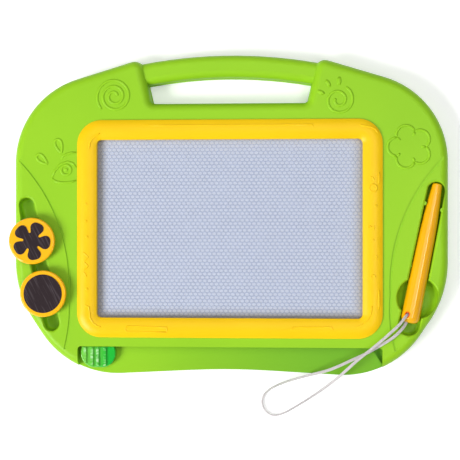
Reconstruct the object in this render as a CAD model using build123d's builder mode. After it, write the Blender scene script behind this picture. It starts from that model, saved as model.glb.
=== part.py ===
"""Magnetic drawing board: a two-part moulded case with a carrying handle, a framed screen,
an eraser slider, a pen on a cord and two stampers parked upside down in a groove.

Millimetres. The board lies on its back: z is zero at the rest face and +Y points to the handle.
"""
import math
import os

from build123d import *

os.makedirs("parts", exist_ok=True)

# Case
side_margin = 61.0  # from the screen frame to the side of the case
head_margin = 61.7  # from the screen frame to the top of the handle
foot_margin = 35.7  # from the screen frame to the foot of the case
face_height = 26.0  # rest face to front face
parting_height = 8.0  # where the two halves of the case meet
wall = 2.2
rim_round = 8.0
back_round = 4.0
back_overhang = 0.6  # the back cover shows as a thin line round the front shell
upper_corner_radius = 83.0
side_turn_radius = 100.0
lower_corner_radius = 86.0
bottom_hollow_radius = 700.0
shoulder_radius = 9.0
grip_corner_radius = 4.0

# Handle
handle_arc_radius = 462.0
handle_width = 21.0
handle_height = 21.5
handle_round = 7.0

# Ledge that the eraser knob runs along, with a dip at its right end
ledge_gap = 8.7  # from the screen frame to the riser
ledge_height = 15.0
ledge_round = 4.0
ledge_corner_radius = 3.0
dip_length = 11.0
dip_width = 16.0
dip_drop = 4.0

# Screen and its frame
window_width = 250.8
window_height = 168.4
window_corner_radius = 4.5
frame_width = 18.6
frame_rise = 4.0
frame_edge = 1.2
sleeve_wall = 2.0
sleeve_depth = 5.0
panel_margin = 6.0
panel_corner_radius = 3.0
film_thickness = 0.3
core_thickness = 1.8
seal_width = 2.5
fence_wall = 1.6
fence_lap = 0.4

# Rails that hold the screen from behind
rail_width = 10.5
rail_thickness = 3.2
rail_inset = 1.5  # from the window's edge outwards to the rail
rail_end = 9.5  # past the screen's end

# Eraser
carriage_width = 12.0
carriage_floor = 11.5
magnet_width = 8.0
magnet_thickness = 2.0
magnet_proud = 1.0
shoe_length = 9.0
guide_rib = 2.0
tongue_width = 10.0
tongue_thickness = 3.0
tongue_reach = 8.0
tongue_rise = 1.0  # ledge to the underside of the tongue
knob_width = 33.2
knob_depth = 26.8
knob_corner_radius = 12.8
knob_flat = 7.0  # cut off the oval along the riser
knob_body = 7.6
knob_round = 1.2
knob_rib_rise = 1.8
knob_rib_width = 2.4

# Pen and its recess
pen_length = 133.0
pen_tip_radius = 4.6
pen_belly_radius = 8.1
pen_belly_place = 60.0  # from the tip to where the swelling of the nose ends
pen_tail_radius = 8.9
pen_wall = 1.6
pen_nose_round = 1.9
pen_tail_round = 5.5
tip_magnet_radius = 2.2
tip_magnet_length = 7.0
plug_length = 17.0
plug_spigot = 8.0
plug_wall = 1.3
slot_tip_radius = 8.2
slot_tail_radius = 9.6
slot_spare = 11.6  # room past the pen's tail
slot_nose_gap = 1.2
slot_rim = 1.6  # side of the case to the slot, at the pen's tip
recess_floor = 12.5
recess_floor_round = 3.0
mouth_round = 2.2
finger_radius = 19.0
finger_from_tail = 24.6
finger_offset = 2.8  # centre of the dish from the pen's axis, away from the screen
finger_floor_round = 8.0
nub_radius = 2.0
nub_height = 4.0
nub_drop = 1.2
nub_gap = 0.35  # from the pen's side

# Stampers and their groove
groove_radius = 7.2
stamper_radius = 22.0
stamper_thickness = 5.0
stamper_gap = 5.0  # front face to the underside of the disc
stamper_round = 1.6
stamper_neck_radius = 4.2
stamper_bulb_radius = 6.3
stamper_bulb_length = 6.0
stamper_flare = 3.0
magnet_sheet = 1.8
magnet_sink = 1.2
round_magnet_radius = 18.1
petal_count = 5
flower_radius = 18.0
flower_core_radius = 7.7
petal_corner_radius = 4.6
notch_radius = 1.2  # at the core
notch_mouth_radius = 3.4  # outside the disc
flower_turn = 30.0

# Sunk lines in the front face
line_width = 2.2
line_depth = 0.9

# Fasteners
screw_radius = 1.5
screw_head_radius = 3.1
screw_head_height = 2.0
screw_length = 14.0
rail_screw_length = 7.0
boss_radius = 4.0
rail_boss_radius = 3.2
well_radius = 5.4
well_bore_radius = 3.5
well_seat = 2.0

# Cord
cord_diameter = 2.8
knot_radius = 4.0
knot_from_end = 11.0
cord_hole_gap = 0.4
# Ways out of the pen's tail, as shares of its side, its axis and up
cord_out_shares = (0.45, 0.35, 0.82)
cord_in_shares = (0.26, 0.92, 0.3)

# Clearances
fit_gap = 0.05  # pressed, glued or screwed together
run_gap = 0.3  # between pieces that move or lift out
slot_gap = 0.6
overrun = 5.0  # cutters run past what they cut

# Overall sizes follow from the screen, its frame and the margins round it
frame_half_width = window_width / 2 + frame_width
frame_half_height = window_height / 2 + frame_width
half_width = frame_half_width + side_margin
half_height = frame_half_height + (head_margin + foot_margin) / 2
screen_y = (foot_margin - head_margin) / 2

# Right half of the case outline, from the middle of the bottom edge up to the grip hole
corner_shares = [
    (0, -0.96),
    (0.742, -1.012),
    (1, -0.49),
    (1, 0.737),
    (0.408, 0.9805),
    (0.36, 0.698),
]
corner_radii = [
    bottom_hollow_radius,
    lower_corner_radius,
    side_turn_radius,
    upper_corner_radius,
    shoulder_radius,
    grip_corner_radius,
]
handle_end_share = 0.44
# Places above the screen frame and beside it, as above_screen and beside_screen take them
high_boss_shares = [(0.413, 0.08), (0.783, 0.46)]
side_boss_shares = [(0.68, 0.693), (0.1, -1.03)]
line_shares = [(0.949, 0.657), (0.339, 0.1245), (0.123, -0.603), (0.118, -0.817), (0.2, -1.11)]
pen_tail_share = (0.41, -0.857)
groove_top_share = (0.807, 0.216)
groove_bottom_share = (0.41, -0.8735)
stamper_shares = {"flower_stamper": 0.302, "round_stamper": 0.746}
nub_shares = [(0.23, 1), (0.265, -1), (0.9, 1), (0.952, -1)]  # of the slot up to the finger dish
knob_rib_shares = (-0.37, -0.17, -0.01, 0.2)


def board_point(shares):
    """A place on the board, from its shares of the half width and half height."""
    return Vector(half_width * shares[0], half_height * shares[1])


def above_screen(shares):
    """A place above the screen frame, from shares of its half width and of the head margin."""
    return Vector(frame_half_width * shares[0], screen_y + frame_half_height + head_margin * shares[1])


def beside_screen(shares):
    """A place beside the screen frame, from shares of the side margin and of its half height."""
    return Vector(frame_half_width + side_margin * shares[0], screen_y + frame_half_height * shares[1])


def mirrored(point):
    """The same place on the left side of the board."""
    return Vector(-point.X, point.Y)


def case_outline(grow):
    """Outline of the case without the handle bar."""
    right = [board_point(shares) for shares in corner_shares]
    left = [mirrored(point) for point in reversed(right[1:])]
    with BuildSketch() as outline:
        with BuildLine():
            FilletPolyline(*right, *left, radius=corner_radii + corner_radii[:0:-1], close=True)
        make_face()
        if grow:
            offset(amount=grow)
    return outline.sketch


def handle_outline(grow):
    """Outline of the handle bar, which runs on into both shoulders."""
    end = half_width * handle_end_share + grow
    centre_y = half_height - handle_arc_radius
    outer_radius = handle_arc_radius + grow
    inner_radius = handle_arc_radius - handle_width - grow
    outer_end = centre_y + math.sqrt(outer_radius**2 - end**2)
    inner_end = centre_y + math.sqrt(inner_radius**2 - end**2)
    with BuildSketch() as outline:
        with BuildLine():
            ThreePointArc((-end, outer_end), (0, centre_y + outer_radius), (end, outer_end))
            Line((end, outer_end), (end, inner_end))
            ThreePointArc((end, inner_end), (0, centre_y + inner_radius), (-end, inner_end))
            Line((-end, inner_end), (-end, outer_end))
        make_face()
    return outline.sketch


def moulding(outline, low, high, top_round=0, bottom_round=0, open_ends=False):
    """A flat form with its top or bottom edge rounded; open ends run on into another form."""
    with BuildPart() as form:
        with BuildSketch(Plane.XY.offset(low)):
            add(outline)
        extrude(amount=high - low)
        if top_round:
            edges = form.faces().sort_by(Axis.Z)[-1].edges()
            fillet(edges.filter_by(GeomType.CIRCLE) if open_ends else edges, radius=top_round)
        if bottom_round:
            fillet(form.faces().sort_by(Axis.Z)[0].edges(), radius=bottom_round)
    return form.part


# Ledge: a step along the bottom edge, open towards it
riser_y = screen_y - frame_half_height - ledge_gap


def ledge_cutter(inset):
    depth = half_height + riser_y + inset + overrun
    with BuildPart() as cutter:
        with BuildSketch(Plane.XY.offset(ledge_height - inset)):
            with Locations((0, riser_y + inset - depth / 2)):
                RectangleRounded(
                    2 * (frame_half_width + inset), depth, ledge_corner_radius + inset
                )
        extrude(amount=face_height - ledge_height + inset + overrun)
    return cutter.part


def dip_cutter(inset):
    """A three-sided dip in the ledge floor at its right end."""
    with BuildPart() as cutter:
        with BuildSketch(Plane.XY.offset(ledge_height - dip_drop - inset)):
            with BuildLine():
                Polyline(
                    (frame_half_width - dip_length, riser_y),
                    (frame_half_width, riser_y),
                    (frame_half_width, riser_y - dip_width),
                    close=True,
                )
            make_face()
            if inset:
                offset(amount=inset)
        extrude(amount=dip_drop + inset + fit_gap)
    return cutter.part


# Pen recess: a tapered slot with a round finger dish near the pen's tail
pen_tail = beside_screen(pen_tail_share)
pen_lean = half_width - slot_rim - slot_tip_radius - pen_tail.X
pen_tip = pen_tail + Vector(pen_lean, math.sqrt(pen_length**2 - pen_lean**2))
pen_line = (pen_tail - pen_tip).normalized()
pen_side = Vector(pen_line.Y, -pen_line.X)  # towards the screen
slot_start = slot_tip_radius - slot_nose_gap
slot_end = pen_length + slot_spare - slot_tail_radius
slot_tip = pen_tip + pen_line * slot_start
slot_tail = pen_tip + pen_line * slot_end
finger_centre = pen_tip + pen_line * (pen_length - finger_from_tail) - pen_side * finger_offset


def channel_outline(start, start_radius, end, end_radius):
    """Outline of a channel with round ends, which may differ in size."""
    along = (end - start).normalized()
    across = Vector(-along.Y, along.X)
    lean = (start_radius - end_radius) / (end - start).length
    left = along * lean + across * math.sqrt(1 - lean**2)
    right = along * lean - across * math.sqrt(1 - lean**2)
    with BuildSketch() as outline:
        with BuildLine():
            first = Line(start + left * start_radius, end + left * end_radius)
            ThreePointArc(first @ 1, end + along * end_radius, end + right * end_radius)
            Line(end + right * end_radius, start + right * start_radius)
            ThreePointArc(start + right * start_radius, start - along * start_radius, first @ 0)
        make_face()
    return outline.sketch


def slot_outline(grow):
    return channel_outline(slot_tip, slot_tip_radius + grow, slot_tail, slot_tail_radius + grow)


def finger_outline(grow):
    with BuildSketch() as outline:
        with Locations((finger_centre.X, finger_centre.Y)):
            Circle(finger_radius + grow)
    return outline.sketch


def pen_recess_outline(grow):
    with BuildSketch() as outline:
        add(slot_outline(grow))
        add(finger_outline(grow))
    return outline.sketch


# Stamper groove on the other side of the screen
groove_top = mirrored(beside_screen(groove_top_share))
groove_bottom = mirrored(beside_screen(groove_bottom_share))


def groove_outline(grow):
    return channel_outline(groove_top, groove_radius + grow, groove_bottom, groove_radius + grow)


def recess_cutter(outline_of, inset, floor_round):
    """Cutter for a moulded recess; an inset makes the outside of its wall."""
    with BuildPart() as cutter:
        with BuildSketch(Plane.XY.offset(recess_floor - inset)):
            add(outline_of(inset))
        extrude(amount=face_height - recess_floor + inset + overrun)
        if not inset:
            fillet(cutter.faces().sort_by(Axis.Z)[0].edges(), radius=floor_round)
    return cutter.part


def mouth_cutter(outline_of):
    """What is rounded off where the front face turns down into a recess."""
    depth = 2 * mouth_round
    with BuildPart() as lip:
        with BuildSketch(Plane.XY.offset(face_height - depth)):
            add(outline_of(depth))
            add(outline_of(0), mode=Mode.SUBTRACT)
        extrude(amount=depth)
        fillet(lip.faces().sort_by(Axis.Z)[-1].inner_wires()[0].edges(), radius=mouth_round)
    with BuildPart() as flare:
        with BuildSketch(Plane.XY.offset(face_height - mouth_round)):
            add(outline_of(depth))
        extrude(amount=mouth_round)
        add(lip.part, mode=Mode.SUBTRACT)
    return flare.part


def front_form(inset):
    """The case front as a solid, drawn in from its outer surface by an inset."""
    outline = case_outline(-inset)
    with BuildPart() as form:
        add(moulding(outline, parting_height, face_height - inset, rim_round - inset))
        add(ledge_cutter(inset), mode=Mode.SUBTRACT)
        add(moulding(outline, parting_height, ledge_height - inset, ledge_round - inset))
        add(
            moulding(
                handle_outline(-inset),
                parting_height,
                handle_height - inset,
                handle_round - inset,
                open_ends=True,
            )
        )
        add(dip_cutter(inset), mode=Mode.SUBTRACT)
        add(recess_cutter(slot_outline, inset, recess_floor_round), mode=Mode.SUBTRACT)
        add(recess_cutter(finger_outline, inset, finger_floor_round), mode=Mode.SUBTRACT)
        add(recess_cutter(groove_outline, inset, recess_floor_round), mode=Mode.SUBTRACT)
    return form.part


# Screen panel levels, from the front backwards
panel_width = window_width + 2 * panel_margin
panel_height = window_height + 2 * panel_margin
panel_front = face_height - sleeve_depth
core_front = panel_front - film_thickness
core_back = core_front - core_thickness
panel_back = core_back - film_thickness
rail_back = panel_back - rail_thickness
rail_length = panel_width + 2 * rail_end
rail_offset = window_height / 2 + rail_inset + rail_width / 2
rail_screw_x = rail_length / 2 - rail_boss_radius - slot_gap
rail_ys = [screen_y + rail_offset, screen_y - rail_offset]
rail_boss_places = [(side * rail_screw_x, y) for side in (-1, 1) for y in rail_ys]

# Eraser levels and places
shoe_top = rail_back - run_gap
carriage_x = window_width / 2 - slot_gap
eraser_travel = 2 * carriage_x
tongue_floor = ledge_height + tongue_rise
slot_floor = tongue_floor - run_gap
slot_height = tongue_thickness + 2 * run_gap
print("eraser travel", eraser_travel)

# Back screws stand in bosses under the front face
right_bosses = [above_screen(shares) for shares in high_boss_shares]
right_bosses += [beside_screen(shares) for shares in side_boss_shares]
boss_places = [(side * place.X, place.Y) for place in right_bosses for side in (-1, 1)]
seat_height = parting_height - well_seat
pilot_radius = screw_radius + fit_gap


def screen_rectangle(grow, corner_radius, mode=Mode.ADD):
    """A rounded rectangle round the window, grown from its edge."""
    with Locations((0, screen_y)):
        RectangleRounded(window_width + 2 * grow, window_height + 2 * grow, corner_radius, mode=mode)


def line_cutter(side):
    """A line sunk into the front face, from the rim past the recess to the lower corner."""
    points = [(side * place.X, place.Y) for place in map(beside_screen, line_shares)]
    with BuildPart() as cutter:
        with BuildSketch(Plane.XY.offset(face_height - line_depth)):
            with BuildLine() as path:
                first = ThreePointArc(*points[:3])
                ThreePointArc(first @ 1, *points[3:])
            trace(path.line, line_width=line_width)
        extrude(amount=line_depth + overrun)
    return cutter.part


# The pen is straight from its tail to its belly and rounds off from there to its tip
pen_rise = (pen_tail_radius - pen_belly_radius) / (pen_length - pen_tail_round - pen_belly_place)
nose_run = pen_belly_place - pen_nose_round
nose_drop = pen_belly_radius - pen_rise * nose_run - pen_tip_radius


def pen_radius(along):
    """Radius of the pen at a distance from its tip."""
    short = max(pen_belly_place - along, 0) / nose_run
    return pen_belly_radius + pen_rise * (along - pen_belly_place) - nose_drop * short**2


# Nubs stand out from the sides of the slot and keep the pen in the middle
with BuildPart() as nubs:
    with BuildSketch(Plane.XY.offset(face_height - nub_drop - nub_height)):
        for share, side in nub_shares:
            along = (pen_length - finger_from_tail - finger_radius) * share
            off_axis = pen_radius(along) + nub_gap + nub_radius
            centre = pen_tip + pen_line * along + pen_side * side * off_axis
            with Locations((centre.X, centre.Y)):
                Circle(nub_radius)
        add(slot_outline(wall / 2), mode=Mode.INTERSECT)
    extrude(amount=nub_height)

with BuildPart() as front_shell:
    add(front_form(0))
    add(front_form(wall), mode=Mode.SUBTRACT)
    add(mouth_cutter(pen_recess_outline), mode=Mode.SUBTRACT)
    add(mouth_cutter(groove_outline), mode=Mode.SUBTRACT)
    add(line_cutter(-1), mode=Mode.SUBTRACT)
    add(line_cutter(1), mode=Mode.SUBTRACT)
    add(nubs.part)
    with BuildSketch(Plane.XY.offset(parting_height)):
        with Locations(*boss_places):
            Circle(boss_radius)
    extrude(amount=face_height - wall / 2 - parting_height)
    with BuildSketch(Plane.XY.offset(parting_height)):
        with Locations(*boss_places):
            Circle(pilot_radius)
    extrude(amount=screw_length - well_seat + run_gap, mode=Mode.SUBTRACT)
    # Fence round the screen panel, and the bosses for its rails
    fence_low = panel_back + fence_lap
    fence_gap = panel_margin + run_gap
    with BuildSketch(Plane.XY.offset(fence_low)):
        screen_rectangle(fence_gap + fence_wall, panel_corner_radius + run_gap + fence_wall)
        screen_rectangle(fence_gap, panel_corner_radius + run_gap, mode=Mode.SUBTRACT)
    extrude(amount=face_height - wall / 2 - fence_low)
    with BuildSketch(Plane.XY.offset(panel_back)):
        with Locations(*rail_boss_places):
            Circle(rail_boss_radius)
    extrude(amount=face_height - wall / 2 - panel_back)
    with BuildSketch(Plane.XY.offset(panel_back)):
        with Locations(*rail_boss_places):
            Circle(pilot_radius)
    extrude(amount=rail_screw_length - rail_thickness + fit_gap, mode=Mode.SUBTRACT)
    # Window
    with BuildSketch(Plane.XY.offset(face_height - wall - overrun / 2)):
        screen_rectangle(sleeve_wall + fit_gap, window_corner_radius + sleeve_wall + fit_gap)
    extrude(amount=wall + overrun, mode=Mode.SUBTRACT)
    # Long slot in the riser for the eraser's tongue
    with BuildSketch(Plane.XY.offset(slot_floor)):
        with Locations((0, riser_y)):
            Rectangle(eraser_travel + tongue_width + 2 * slot_gap, 2 * wall + 2 * run_gap)
    extrude(amount=slot_height, mode=Mode.SUBTRACT)
front_shell.part.label = "front_shell"
export_step(front_shell.part, "parts/front_shell.step")

# Back cover: a shallow tray with screw wells and two guide ribs for the eraser
rib_offset = rail_offset - rail_width / 2 + shoe_length / 2
with BuildPart() as back_cover:
    add(moulding(case_outline(back_overhang), 0, parting_height, bottom_round=back_round))
    add(moulding(handle_outline(back_overhang), 0, parting_height, bottom_round=back_round))
    add(
        moulding(case_outline(back_overhang - wall), wall, parting_height + overrun),
        mode=Mode.SUBTRACT,
    )
    add(
        moulding(handle_outline(back_overhang - wall), wall, parting_height + overrun),
        mode=Mode.SUBTRACT,
    )
    with BuildSketch(Plane.XY.offset(wall / 2)):
        with Locations(*boss_places):
            Circle(well_radius)
    extrude(amount=parting_height - wall / 2)
    with BuildSketch():
        with Locations(*boss_places):
            Circle(well_bore_radius)
    extrude(amount=seat_height, mode=Mode.SUBTRACT)
    with BuildSketch():
        with Locations(*boss_places):
            Circle(screw_radius + run_gap)
    extrude(amount=parting_height, mode=Mode.SUBTRACT)
    with BuildSketch(Plane.XY.offset(wall / 2)):
        with Locations((0, screen_y - rib_offset), (0, screen_y + rib_offset)):
            Rectangle(panel_width, guide_rib)
    extrude(amount=carriage_floor - run_gap - wall / 2)
back_cover.part.label = "back_cover"
export_step(back_cover.part, "parts/back_cover.step")


def make_screw(seat, length):
    """A pan-head screw driven upwards against a seat."""
    with BuildPart() as screw:
        with BuildSketch(Plane.XY.offset(seat - screw_head_height)):
            Circle(screw_head_radius)
        extrude(amount=screw_head_height)
        fillet(screw.faces().sort_by(Axis.Z)[0].edges(), radius=screw_head_height / 3)
        with BuildSketch(Plane.XY.offset(seat)):
            Circle(screw_radius)
        extrude(amount=length)
        chamfer(screw.faces().sort_by(Axis.Z)[-1].edges(), length=screw_radius / 3)
        with BuildSketch(Plane.XY.offset(seat - screw_head_height)):
            Rectangle(screw_head_radius, screw_radius / 3)
            Rectangle(screw_radius / 3, screw_head_radius)
        extrude(amount=screw_head_height / 2, mode=Mode.SUBTRACT)
    return screw.part


for name, places, seat, length in (
    ("back_screws", boss_places, seat_height, screw_length),
    ("rail_screws", rail_boss_places, rail_back, rail_screw_length),
):
    with BuildPart() as screws:
        with Locations(*places):
            add(make_screw(seat, length))
    screws.part.label = name
    export_step(screws.part, f"parts/{name}.step")

# Screen frame: a crowned bar round the window and a sleeve that reaches back to the screen
with BuildSketch(Plane.XY.offset(face_height)) as frame_path:
    screen_rectangle(frame_width / 2, window_corner_radius + frame_width / 2)
frame_wire = frame_path.sketch.faces()[0].outer_wire()
frame_tangent = frame_wire % 0
frame_section = Plane(
    origin=frame_wire @ 0, x_dir=Vector(0, 0, 1).cross(frame_tangent), z_dir=frame_tangent
)
with BuildPart() as screen_bezel:
    with BuildSketch(frame_section) as crown:
        with BuildLine():
            side_x = frame_width / 2
            Polyline((-side_x, frame_edge), (-side_x, 0), (side_x, 0), (side_x, frame_edge))
            ThreePointArc((side_x, frame_edge), (0, frame_rise), (-side_x, frame_edge))
        make_face()
    sweep(sections=crown.sketch, path=frame_wire)
    with BuildSketch(Plane.XY.offset(panel_front)):
        screen_rectangle(sleeve_wall, window_corner_radius + sleeve_wall)
        screen_rectangle(0, window_corner_radius, mode=Mode.SUBTRACT)
    extrude(amount=sleeve_depth + frame_edge / 2)
screen_bezel.part.label = "screen_bezel"
export_step(screen_bezel.part, "parts/screen_bezel.step")


def panel_layer(low, high, shrink=0, hole=0):
    """One layer of the screen panel."""
    with BuildPart() as layer:
        with BuildSketch(Plane.XY.offset(low)):
            screen_rectangle(panel_margin - shrink, panel_corner_radius - shrink / 2)
            if hole:
                screen_rectangle(panel_margin - hole, panel_corner_radius - hole / 2, mode=Mode.SUBTRACT)
        extrude(amount=high - low)
    return layer.part


screen_layers = {
    "screen_front_film": panel_layer(core_front, panel_front),
    "screen_core": panel_layer(core_back, core_front, shrink=seal_width),
    "screen_edge_seal": panel_layer(core_back, core_front, hole=seal_width),
    "screen_back_film": panel_layer(panel_back, core_back),
}
for name, layer in screen_layers.items():
    layer.label = name
    export_step(layer, f"parts/{name}.step")

# Rails: strips behind the top and bottom margins of the screen
for name, y in zip(("screen_rail_top", "screen_rail_bottom"), rail_ys):
    with BuildPart() as rail:
        with BuildSketch(Plane.XY.offset(rail_back)):
            with Locations((0, y)):
                SlotOverall(rail_length, rail_width)
            with Locations((-rail_screw_x, y), (rail_screw_x, y)):
                Circle(pilot_radius, mode=Mode.SUBTRACT)
        extrude(amount=rail_thickness)
    rail.part.label = name
    export_step(rail.part, f"parts/{name}.step")

# Eraser carriage: a bar across the back of the screen, with a shoe under each rail and a
# tongue that leaves through the slot in the riser
bar_length = window_height + 2 * rail_inset - 2 * slot_gap
carriage_top = panel_back - run_gap - magnet_proud
shoe_end_y = screen_y - bar_length / 2 - shoe_length
post_y = rail_ys[1] - rail_width / 2 - slot_gap - tongue_thickness / 2
tongue_end_y = riser_y - run_gap - tongue_reach
arm_length = shoe_end_y - post_y + tongue_thickness / 2
with BuildPart() as eraser_carriage:
    with BuildSketch(Plane.XY.offset(carriage_floor)):
        with Locations((-carriage_x, screen_y)):
            Rectangle(carriage_width, bar_length)
    extrude(amount=carriage_top - carriage_floor)
    with BuildSketch(Plane.XY.offset(carriage_floor)):
        with Locations((-carriage_x, screen_y)):
            Rectangle(carriage_width, bar_length + 2 * shoe_length)
        with Locations((-carriage_x, shoe_end_y - arm_length / 2)):
            Rectangle(tongue_width, arm_length)
    extrude(amount=shoe_top - carriage_floor)
    with BuildSketch(Plane.XY.offset(carriage_floor)):
        with Locations((-carriage_x, post_y)):
            Rectangle(tongue_width, tongue_thickness)
    extrude(amount=tongue_floor + tongue_thickness - carriage_floor)
    with BuildSketch(Plane.XY.offset(tongue_floor)):
        with Locations((-carriage_x, (post_y + tongue_end_y) / 2)):
            Rectangle(tongue_width, post_y - tongue_end_y)
    extrude(amount=tongue_thickness)
    with BuildSketch(Plane.XY.offset(carriage_top)):
        with Locations((-carriage_x, screen_y)):
            Rectangle(magnet_width, bar_length - carriage_width)
    extrude(amount=magnet_proud - magnet_thickness, mode=Mode.SUBTRACT)
eraser_carriage.part.label = "eraser_carriage"
export_step(eraser_carriage.part, "parts/eraser_carriage.step")

with BuildPart() as eraser_magnet:
    with BuildSketch(Plane.XY.offset(carriage_top + magnet_proud)):
        with Locations((-carriage_x, screen_y)):
            Rectangle(magnet_width - 2 * fit_gap, bar_length - carriage_width - 2 * fit_gap)
    extrude(amount=-magnet_thickness)
eraser_magnet.part.label = "eraser_magnet_strip"
export_step(eraser_magnet.part, "parts/eraser_magnet_strip.step")

# Eraser knob: an oval cut flat along the riser, with finger ribs across it
knob_floor = ledge_height + run_gap
knob_face_y = riser_y - run_gap
knob_y = knob_face_y - knob_depth / 2 + knob_flat


def knob_outline(shrink):
    with BuildSketch() as outline:
        with Locations((-carriage_x, knob_y)):
            RectangleRounded(
                knob_width - 2 * shrink, knob_depth - 2 * shrink, knob_corner_radius - shrink
            )
        with Locations((-carriage_x, knob_face_y - shrink + knob_depth / 2)):
            Rectangle(knob_width, knob_depth, mode=Mode.SUBTRACT)
    return outline.sketch


with BuildPart() as eraser_knob:
    with BuildSketch(Plane.XY.offset(knob_floor)):
        add(knob_outline(0))
    extrude(amount=knob_body)
    fillet(eraser_knob.faces().sort_by(Axis.Z)[-1].edges(), radius=knob_round)
    with BuildSketch(Plane.XY.offset(knob_floor + knob_body - knob_round)):
        with Locations(*[(-carriage_x + knob_width * share, knob_y) for share in knob_rib_shares]):
            Rectangle(knob_rib_width, knob_depth)
        add(knob_outline(knob_round), mode=Mode.INTERSECT)
    extrude(amount=knob_round + knob_rib_rise)
    with BuildSketch(Plane.XY.offset(tongue_floor - fit_gap)):
        with Locations((-carriage_x, knob_face_y - tongue_reach / 2)):
            Rectangle(tongue_width + 2 * fit_gap, tongue_reach + 2 * fit_gap)
    extrude(amount=tongue_thickness + 2 * fit_gap, mode=Mode.SUBTRACT)
eraser_knob.part.label = "eraser_knob"
export_step(eraser_knob.part, "parts/eraser_knob.step")

# Pen: a tapered barrel with a magnet in its nose and a plug in its tail
pen_low = recess_floor + run_gap + pen_belly_radius - pen_rise * pen_belly_place
pen_origin = Vector(pen_tip.X, pen_tip.Y, pen_low)
pen_axis = Vector(pen_line.X, pen_line.Y, pen_rise).normalized()
pen_up = pen_side.cross(pen_axis)
pen_section = Plane(origin=pen_origin, x_dir=pen_side, z_dir=pen_up)
pen_spin = Axis(pen_origin, pen_axis)
plug_start = pen_length - plug_length
plug_radius = pen_radius(plug_start)
spigot_radius = plug_radius - pen_wall - fit_gap
cavity_radius = spigot_radius - plug_wall
magnet_bore = tip_magnet_radius + fit_gap
nose_solid = tip_magnet_length + pen_wall
with BuildPart() as pen_barrel:
    with BuildSketch(pen_section):
        with BuildLine():
            Polyline(
                (0, nose_solid),
                (0, tip_magnet_length + fit_gap),
                (magnet_bore, tip_magnet_length + fit_gap),
                (magnet_bore, 0),
                (pen_tip_radius - pen_nose_round, 0),
            )
            TangentArc(
                (pen_tip_radius - pen_nose_round, 0), (pen_tip_radius, pen_nose_round), tangent=(1, 0)
            )
            TangentArc(
                (pen_belly_radius, pen_belly_place),
                (pen_tip_radius, pen_nose_round),
                tangent=(-pen_rise, -1),
            )
            Polyline(
                (pen_belly_radius, pen_belly_place),
                (plug_radius, plug_start),
                (plug_radius - pen_wall, plug_start),
                (plug_radius - pen_wall, plug_start - plug_spigot - pen_wall),
                (pen_belly_radius - pen_wall, pen_belly_place),
                (pen_tip_radius - pen_wall, nose_solid),
                (0, nose_solid),
            )
        make_face()
    revolve(axis=pen_spin)
pen_barrel.part.label = "pen_barrel"
export_step(pen_barrel.part, "parts/pen_barrel.step")

with BuildPart() as pen_tip_magnet:
    with BuildSketch(pen_section):
        with Locations((tip_magnet_radius / 2, tip_magnet_length / 2)):
            Rectangle(tip_magnet_radius, tip_magnet_length)
    revolve(axis=pen_spin)
pen_tip_magnet.part.label = "pen_tip_magnet"
export_step(pen_tip_magnet.part, "parts/pen_tip_magnet.step")

# The cord leaves the plug by a hole in its upper side and comes back through one in its end
knot_centre = pen_origin + pen_axis * (pen_length - knot_from_end)
cord_exits = [
    (pen_side * side + pen_axis * along + pen_up * up).normalized()
    for side, along, up in (cord_out_shares, cord_in_shares)
]
print("knot centre", knot_centre, "cord exits", cord_exits)
with BuildPart() as pen_plug:
    with BuildSketch(pen_section):
        with BuildLine():
            Polyline(
                (cavity_radius, plug_start - plug_spigot),
                (spigot_radius, plug_start - plug_spigot),
                (spigot_radius, plug_start),
                (plug_radius, plug_start),
                (pen_tail_radius, pen_length - pen_tail_round),
            )
            TangentArc(
                (pen_tail_radius, pen_length - pen_tail_round),
                (pen_tail_radius - pen_tail_round, pen_length),
                tangent=(0, 1),
            )
            Polyline(
                (pen_tail_radius - pen_tail_round, pen_length),
                (0, pen_length),
                (0, pen_length - 2 * plug_wall),
                (cavity_radius, pen_length - 2 * plug_wall),
                (cavity_radius, plug_start - plug_spigot),
            )
        make_face()
    revolve(axis=pen_spin)
    for direction in cord_exits:
        with BuildSketch(Plane(origin=knot_centre, z_dir=direction)):
            Circle(cord_diameter / 2 + cord_hole_gap)
        extrude(amount=pen_length, mode=Mode.SUBTRACT)
pen_plug.part.label = "pen_tail_plug"
export_step(pen_plug.part, "parts/pen_tail_plug.step")

with BuildPart() as pen_knot:
    with Locations(knot_centre):
        Sphere(knot_radius)
pen_knot.part.label = "pen_cord_knot"
export_step(pen_knot.part, "parts/pen_cord_knot.step")

# The cord's route: out of the pen, over the ledge and the rim, round its loop on the floor,
# back over the rim and the ledge under its first stretch, and into the end of the pen
cord_route = [
    (169.3, -91.3, 24.7),
    (165.6, -93.1, 30.7),
    (160.1, -100.9, 34.2),
    (151.2, -109.0, 35.0),
    (141.3, -117.9, 35.0),
    (131.0, -126.4, 35.0),
    (119.6, -135.3, 34.6),
    (110.6, -144.4, 30.8),
    (103.2, -152.0, 22.6),
    (95.0, -159.6, 13.4),
    (85.4, -167.8, 5.4),
    (74.6, -175.6, 1.4),
    (62.5, -183.2, 1.4),
    (50.5, -190.0, 1.4),
    (40.2, -192.6, 1.4),
    (32.6, -187.4, 1.4),
    (29.6, -178.8, 1.4),
    (32.2, -170.9, 1.4),
    (39.6, -165.2, 1.4),
    (49.0, -160.8, 3.0),
    (58.5, -157.0, 7.6),
    (67.5, -153.6, 14.0),
    (76.5, -150.4, 21.2),
    (85.6, -147.6, 26.8),
    (95.0, -144.6, 29.4),
    (104.5, -140.5, 29.3),
    (113.5, -136.2, 29.3),
    (122.5, -132.1, 29.3),
    (131.0, -128.0, 29.3),
    (138.6, -123.4, 29.7),
    (146.6, -118.5, 31.0),
    (154.6, -113.2, 31.6),
    (160.6, -107.4, 30.3),
    (164.9, -102.6, 26.1),
    (169.6, -93.5, 22.8),
]
bend_share = 0.45


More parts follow.
